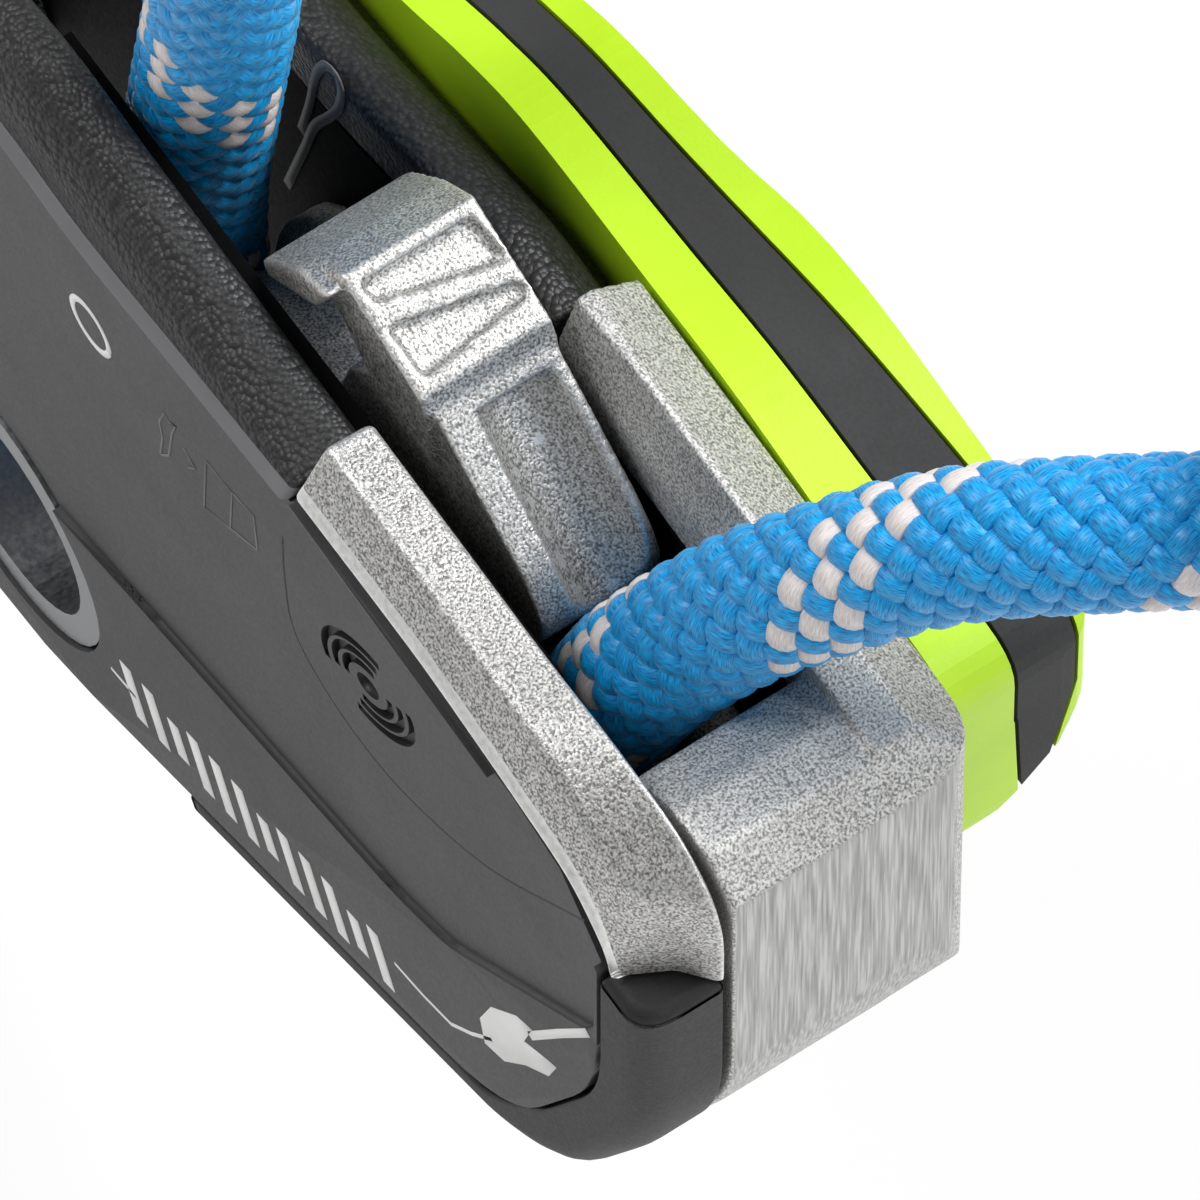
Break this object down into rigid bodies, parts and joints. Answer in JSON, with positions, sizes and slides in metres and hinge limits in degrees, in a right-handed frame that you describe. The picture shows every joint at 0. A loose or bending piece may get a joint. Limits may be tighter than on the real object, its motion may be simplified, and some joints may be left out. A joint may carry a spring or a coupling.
{
  "type": "rope descender",
  "caption": "Self-braking rope descender with a swinging side plate, brake cam and release handle, with its rope threaded through.",
  "frame": {"origin": "centre of the carabiner eye, midway between the two side plates", "axes": "+X towards the brake end, +Y from the opening side plate towards the handle, +Z towards the open edge"},
  "size_m": [0.156, 0.0734, 0.1967],
  "materials": {
    "cast_steel": "sintered cast steel with a fine grain",
    "side_plate": "grey anodised plate",
    "black_plate": "black anodised plate",
    "dark_panel": "dark grey moulded panel",
    "black_grip": "black grained edge grip",
    "lime_grip": "lime moulded grip",
    "inlay_grip": "soft dark inlay",
    "bright_steel": "turned and ground steel",
    "bronze": "sintered bronze bush",
    "blue_rope": "blue braided sheath with white tracers",
    "black_sleeve": "black shrunk sleeve"
  },
  "bodies": {
    "back_side": {"back_eyelet": "side_plate", "back_edge_roll": "black_grip", "back_plate": "black_plate", "brake_block": "cast_steel", "block_screw_1": "bright_steel", "block_screw_2": "bright_steel", "block_screw_3": "bright_steel", "back_cover": "dark_panel", "cover_screw_1": "bright_steel", "cover_screw_2": "bright_steel", "cover_screw_3": "bright_steel", "main_axle": "bright_steel", "axle_nut": "bright_steel", "catch_post": "bright_steel", "anchor_strand": "blue_rope", "brake_strand": "blue_rope", "eye_sleeve": "black_sleeve", "eye_loop": "blue_rope", "stopper_knot": "blue_rope"},
    "front_side": {"front_rail": "cast_steel", "rail_rivet_1": "bright_steel", "rail_rivet_2": "bright_steel", "front_edge_roll": "black_grip", "front_end_cap": "dark_panel", "catch_pin": "bright_steel", "catch_washer": "bright_steel", "front_plate": "side_plate", "front_panel": "dark_panel", "panel_screw_1": "bright_steel", "panel_screw_2": "bright_steel", "panel_screw_3": "bright_steel", "front_eyelet": "side_plate"},
    "brake_cam_group": {"brake_cam": "cast_steel", "cam_bush": "bronze", "cam_spring": "bright_steel", "tail_lever": "bright_steel"},
    "handle": {"handle_shell": "lime_grip", "handle_inlay": "inlay_grip", "handle_shaft": "bright_steel", "handle_screw": "bright_steel", "release_cam": "bright_steel"},
    "turnlock": {"catch_turnlock": "lime_grip"}
  },
  "joints": [
    {"name": "handle_swing", "type": "hinge", "parent": "back_side", "child": "handle", "pos_m": [-0.024, 0, 0.036], "axis": [0, 1, 0], "range_deg": [0, 45]},
    {"name": "cam_pivot", "type": "hinge", "parent": "back_side", "child": "brake_cam_group", "pos_m": [0.026, 0, 0.029], "axis": [0, 1, 0], "range_deg": [-6, 0], "stiffness_Nm_per_rad": 0.3},
    {"name": "front_plate_swing", "type": "hinge", "parent": "back_side", "child": "front_side", "pos_m": [0.026, 0, 0.029], "axis": [0, 1, 0], "range_deg": [0, 95]},
    {"name": "catch_turn", "type": "hinge", "parent": "front_side", "child": "turnlock", "pos_m": [-0.021, 0, 0.001], "axis": [0, 1, 0], "range_deg": [0, 90]}
  ],
  "couplings": [
    {"joint": "cam_pivot", "follows": "handle_swing", "ratio": -0.13333}
  ]
}
